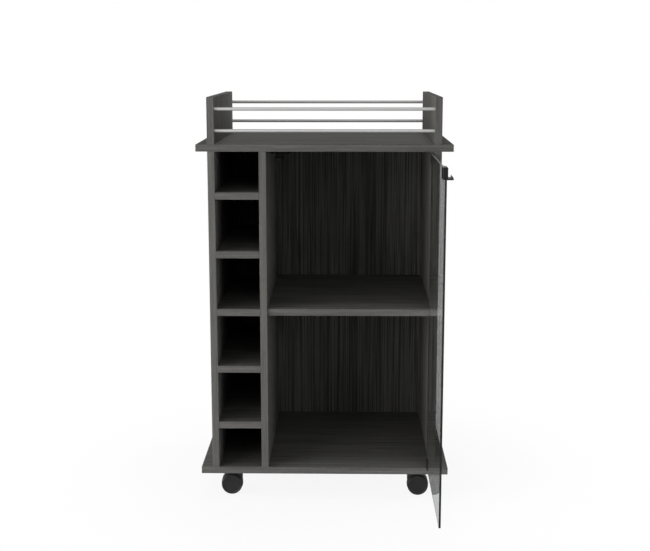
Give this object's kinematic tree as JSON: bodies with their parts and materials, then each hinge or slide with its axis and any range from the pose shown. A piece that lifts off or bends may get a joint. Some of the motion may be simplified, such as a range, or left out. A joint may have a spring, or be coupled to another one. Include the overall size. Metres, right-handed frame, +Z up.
{
  "type": "bar cart",
  "caption": "Rolling bar cart: dark oak-laminate cabinet with bottle cubbies, an inner shelf, a swinging glass door, a railed serving top and twin-wheel casters.",
  "frame": {"origin": "on the floor, under the centre of the carcass", "axes": "+Z up, -Y towards the front that the door closes, +X to the hinge side of the door"},
  "size_m": [0.541, 0.7633, 0.8787],
  "materials": {
    "oak_laminate": "dark grey oak-grain melamine laminate, satin",
    "back_laminate": "thin hardboard with a dark grey oak-grain face",
    "satin_steel": "satin-plated steel tube",
    "zinc_steel": "zinc-plated steel",
    "beech": "plain beech",
    "clear_glass": "clear tempered glass, polished edges",
    "black_metal": "satin black coating",
    "liner_rubber": "soft black rubber",
    "bush_nylon": "black nylon",
    "catch_plastic": "black moulded plastic",
    "magnet_ferrite": "sintered ferrite",
    "caster_nylon": "black moulded nylon",
    "caster_tread": "black hard nylon wheel",
    "caster_steel": "black-coated steel"
  },
  "bodies": {
    "cabinet": {"base_board": "oak_laminate", "top_board": "oak_laminate", "left_side_panel": "oak_laminate", "right_side_panel": "oak_laminate", "divider_panel": "oak_laminate", "main_shelf": "oak_laminate", "left_rail_end": "oak_laminate", "right_rail_end": "oak_laminate", "cubby_shelf_1": "oak_laminate", "cubby_shelf_2": "oak_laminate", "cubby_shelf_3": "oak_laminate", "cubby_shelf_4": "oak_laminate", "cubby_shelf_5": "oak_laminate", "back_panel": "back_laminate", "front_rail_upper": "satin_steel", "front_rail_lower": "satin_steel", "back_rail_upper": "satin_steel", "back_rail_lower": "satin_steel", "base_screws": "zinc_steel", "rail_end_screws": "zinc_steel", "top_cam_bolts": "zinc_steel", "top_cams": "zinc_steel", "back_panel_nails": "zinc_steel", "caster_screws": "zinc_steel", "shelf_dowels": "beech", "catch_pole_plates": "black_metal", "catch_screws": "black_metal", "top_hinge_bush": "bush_nylon", "bottom_hinge_bush": "bush_nylon", "catch_housing": "catch_plastic", "catch_magnet": "magnet_ferrite", "front_left_caster_plate": "caster_steel", "front_right_caster_plate": "caster_steel", "rear_left_caster_plate": "caster_steel", "rear_right_caster_plate": "caster_steel"},
    "door": {"door_glass": "clear_glass", "top_hinge_clamp": "black_metal", "bottom_hinge_clamp": "black_metal", "top_hinge_pin": "black_metal", "bottom_hinge_pin": "black_metal", "hinge_liners": "liner_rubber", "hinge_set_screws": "zinc_steel", "handle_clip": "black_metal", "handle_liner": "liner_rubber"},
    "front_left_swivel": {"front_left_caster_hood": "caster_nylon"},
    "front_left_wheels": {"front_left_caster_axle": "caster_steel", "front_left_caster_wheel_a": "caster_tread", "front_left_caster_wheel_b": "caster_tread"},
    "front_right_swivel": {"front_right_caster_hood": "caster_nylon"},
    "front_right_wheels": {"front_right_caster_axle": "caster_steel", "front_right_caster_wheel_a": "caster_tread", "front_right_caster_wheel_b": "caster_tread"},
    "rear_left_swivel": {"rear_left_caster_hood": "caster_nylon"},
    "rear_left_wheels": {"rear_left_caster_axle": "caster_steel", "rear_left_caster_wheel_a": "caster_tread", "rear_left_caster_wheel_b": "caster_tread"},
    "rear_right_swivel": {"rear_right_caster_hood": "caster_nylon"},
    "rear_right_wheels": {"rear_right_caster_axle": "caster_steel", "rear_right_caster_wheel_a": "caster_tread", "rear_right_caster_wheel_b": "caster_tread"}
  },
  "joints": [
    {"name": "door_hinge", "type": "hinge", "parent": "cabinet", "child": "door", "pos_m": [0.2259, -0.206, 0.42], "axis": [0, 0, 1], "range_deg": [-90, 8]},
    {"name": "front_left_caster_swivel", "type": "hinge", "parent": "cabinet", "child": "front_left_swivel", "pos_m": [-0.19305, -0.1685, 0.05], "axis": [0, 0, 1], "continuous": true},
    {"name": "front_left_wheel_roll", "type": "hinge", "parent": "front_left_swivel", "child": "front_left_wheels", "pos_m": [-0.20705, -0.1685, 0.0229], "axis": [0, 1, 0], "continuous": true},
    {"name": "front_right_caster_swivel", "type": "hinge", "parent": "cabinet", "child": "front_right_swivel", "pos_m": [0.19305, -0.1685, 0.05], "axis": [0, 0, 1], "continuous": true},
    {"name": "front_right_wheel_roll", "type": "hinge", "parent": "front_right_swivel", "child": "front_right_wheels", "pos_m": [0.20705, -0.1685, 0.0229], "axis": [0, 1, 0], "continuous": true},
    {"name": "rear_left_caster_swivel", "type": "hinge", "parent": "cabinet", "child": "rear_left_swivel", "pos_m": [-0.19305, 0.1685, 0.05], "axis": [0, 0, 1], "continuous": true},
    {"name": "rear_left_wheel_roll", "type": "hinge", "parent": "rear_left_swivel", "child": "rear_left_wheels", "pos_m": [-0.20705, 0.1685, 0.0229], "axis": [0, 1, 0], "continuous": true},
    {"name": "rear_right_caster_swivel", "type": "hinge", "parent": "cabinet", "child": "rear_right_swivel", "pos_m": [0.19305, 0.1685, 0.05], "axis": [0, 0, 1], "continuous": true},
    {"name": "rear_right_wheel_roll", "type": "hinge", "parent": "rear_right_swivel", "child": "rear_right_wheels", "pos_m": [0.20705, 0.1685, 0.0229], "axis": [0, 1, 0], "continuous": true}
  ]
}
